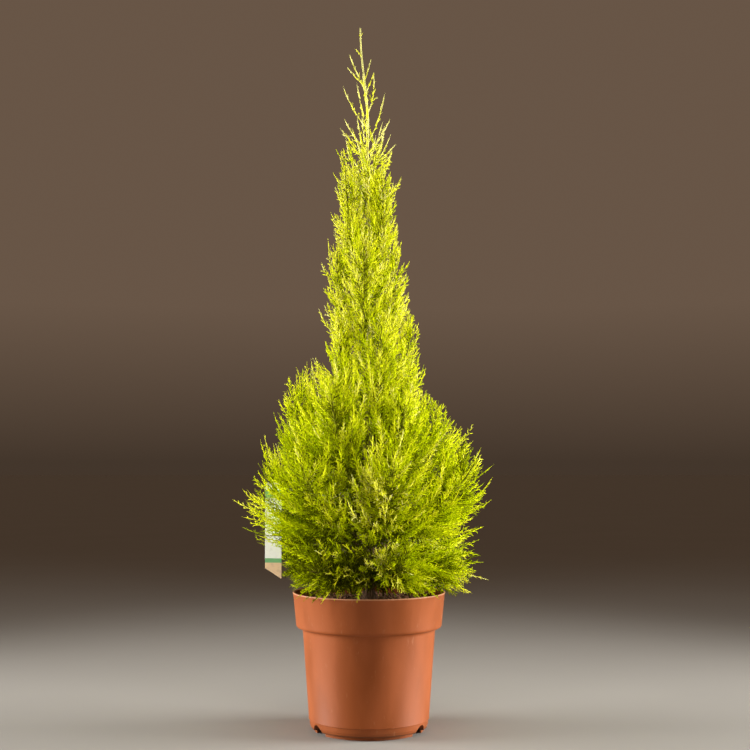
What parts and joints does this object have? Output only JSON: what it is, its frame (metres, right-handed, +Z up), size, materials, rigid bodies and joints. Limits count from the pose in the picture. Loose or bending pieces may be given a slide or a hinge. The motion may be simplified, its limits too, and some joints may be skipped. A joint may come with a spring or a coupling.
{
  "type": "lemon cypress in a nursery pot",
  "caption": "Young golden conifer with feathery yellow-green foliage, broad at the base and tapering to a slim leader, in a round terracotta-coloured plastic nursery pot.",
  "frame": {"origin": "middle of the box under the plant, on the surface that the pot stands on, at the pot's axis", "axes": "+Z up; -Y towards the side that the picture shows; +X to that view's right"},
  "size_m": [0.3092, 0.3097, 0.88],
  "materials": {
    "pot_plastic": "satin",
    "soil": "matte",
    "bark": "matte",
    "foliage": "matte",
    "low_foliage": "matte",
    "shoot_tips": "matte",
    "tag_plastic": "satin"
  },
  "bodies": {
    "root": {"pot": "pot_plastic", "soil": "soil", "trunk": "bark", "care_tag": "tag_plastic", "hem_bough_1": "bark", "hem_bough_2": "bark", "hem_bough_3": "bark", "hem_bough_4": "bark", "hem_bough_5": "bark", "hem_bough_6": "bark", "skirt_bough_1": "bark", "skirt_bough_2": "bark", "skirt_bough_3": "bark", "skirt_bough_4": "bark", "skirt_bough_5": "bark", "skirt_bough_6": "bark", "skirt_bough_7": "bark", "shoulder_bough_1": "bark", "shoulder_bough_2": "bark", "shoulder_bough_3": "bark", "shoulder_bough_4": "bark", "shoulder_bough_5": "bark", "shoulder_bough_6": "bark", "hem_1": "low_foliage", "hem_2": "low_foliage", "hem_3": "low_foliage", "hem_4": "low_foliage", "hem_5": "low_foliage", "hem_6": "low_foliage", "skirt_1": "foliage", "skirt_2": "foliage", "skirt_3": "foliage", "skirt_4": "foliage", "skirt_5": "foliage", "skirt_6": "foliage", "skirt_7": "foliage", "shoulder_1": "foliage", "shoulder_2": "foliage", "shoulder_3": "foliage", "shoulder_4": "foliage", "shoulder_5": "foliage", "shoulder_6": "foliage", "neck_1": "foliage", "neck_2": "foliage", "neck_3": "foliage", "neck_4": "foliage", "neck_5": "foliage", "column_1": "foliage", "column_2": "foliage", "column_3": "foliage", "column_4": "foliage", "steeple_1": "foliage", "steeple_2": "foliage", "steeple_3": "foliage", "spire_1": "shoot_tips", "spire_2": "shoot_tips", "spire_3": "shoot_tips", "spire_4": "shoot_tips", "spire_5": "shoot_tips", "spire_6": "shoot_tips"}
  },
  "joints": []
}
